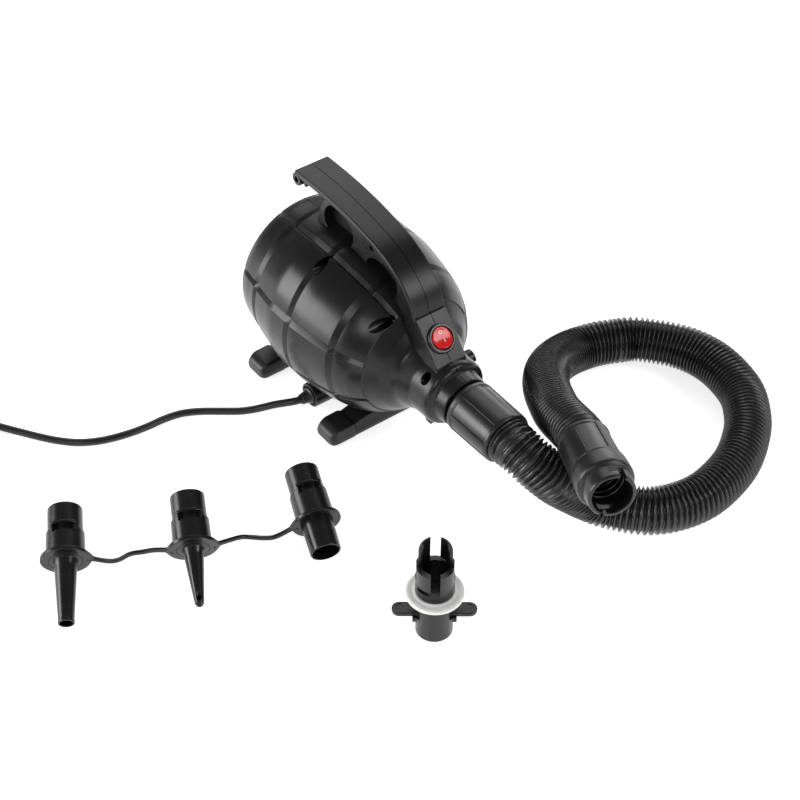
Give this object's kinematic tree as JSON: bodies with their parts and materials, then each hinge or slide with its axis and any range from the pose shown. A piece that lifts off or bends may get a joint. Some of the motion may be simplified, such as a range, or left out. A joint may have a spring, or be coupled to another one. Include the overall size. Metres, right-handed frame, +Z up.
{
  "type": "electric air mattress pump",
  "caption": "Mains-powered inflator pump: barrel housing with top handle, red rocker switch, corrugated outlet hose, mains lead and separate inflation nozzles.",
  "frame": {"origin": "centre of the front foot's underside, on the resting surface, in the housing's mirror plane", "axes": "+X along the motor and outlet axis towards the air outlet, +Z up, +Y to the pump's left"},
  "size_m": [0.4863, 0.6244, 0.178],
  "materials": {
    "housing_plastic": "fine sandblast grain, near black",
    "soft_rubber": "matt black",
    "switch_black": "satin black",
    "switch_red": "glossy translucent red",
    "hose_plastic": "satin black, helically ribbed",
    "connector_grey": "satin black",
    "nozzle_plastic": "satin black",
    "white_silicone": "satin white",
    "cord_pvc": "satin black",
    "zinc_steel": "zinc plated",
    "steel": "ground",
    "lamination": "stacked laminations",
    "copper": "enamelled copper wire",
    "brass": "machined",
    "carbon": "pressed carbon",
    "motor_nylon": "natural nylon",
    "fan_grey": "moulded, grey"
  },
  "bodies": {
    "pump": {"housing_left": "housing_plastic", "housing_right": "housing_plastic", "inlet_grille": "housing_plastic", "front_foot": "housing_plastic", "rear_foot": "housing_plastic", "foot_boot_front_near": "soft_rubber", "foot_boot_front_far": "soft_rubber", "foot_boot_rear_near": "soft_rubber", "foot_boot_rear_far": "soft_rubber", "cord_strain_relief": "soft_rubber", "switch_body": "switch_black", "hose": "hose_plastic", "hose_end_connector": "connector_grey", "mains_cord": "cord_pvc", "mains_cord_coil": "cord_pvc", "plug_body": "cord_pvc", "housing_screw_1": "zinc_steel", "housing_screw_2": "zinc_steel", "housing_screw_3": "zinc_steel", "housing_screw_4": "zinc_steel", "housing_screw_5": "zinc_steel", "housing_screw_6": "zinc_steel", "housing_screw_7": "zinc_steel", "rear_bearing": "steel", "front_bearing": "steel", "stator_core": "lamination", "field_coil_1": "copper", "field_coil_2": "copper", "live_lead": "copper", "brush_holder_1": "brass", "brush_holder_2": "brass", "plug_pin_1": "brass", "plug_pin_2": "brass", "carbon_brush_1": "carbon", "carbon_brush_2": "carbon", "motor_frame_rear": "motor_nylon", "motor_frame_front": "motor_nylon", "fan_shroud": "motor_nylon", "cord_clamp": "motor_nylon"},
    "rotor": {"motor_shaft": "steel", "armature_core": "lamination", "armature_winding": "copper", "commutator": "brass", "impeller": "fan_grey", "impeller_nut": "steel"},
    "rocker": {"switch_rocker": "switch_red"},
    "cuff": {"hose_cuff": "connector_grey"},
    "nozzle_set": {"nozzle_taper": "nozzle_plastic", "nozzle_pointed": "nozzle_plastic", "nozzle_wide": "nozzle_plastic", "nozzle_tether": "nozzle_plastic"},
    "adapter": {"valve_adapter": "nozzle_plastic", "adapter_washer": "white_silicone"}
  },
  "joints": [
    {"name": "rotor_spin", "type": "hinge", "parent": "pump", "child": "rotor", "pos_m": [0, 0, 0.0755], "axis": [1, 0, 0], "continuous": true},
    {"name": "switch_rock", "type": "hinge", "parent": "pump", "child": "rocker", "pos_m": [0.0616, 0, 0.11394], "axis": [0, 1, 0], "range_deg": [0, 18]},
    {"name": "hose_cuff_twist", "type": "hinge", "parent": "pump", "child": "cuff", "pos_m": [0.095, 0, 0.0725], "axis": [1, 0, 0], "range_deg": [0, 25]},
    {"name": "nozzle_set_lift", "type": "slide", "parent": "pump", "child": "nozzle_set", "axis": [0, 0, 1], "range_m": [0, 0.12]},
    {"name": "valve_adapter_lift", "type": "slide", "parent": "pump", "child": "adapter", "axis": [0, 0, 1], "range_m": [0, 0.12]}
  ]
}
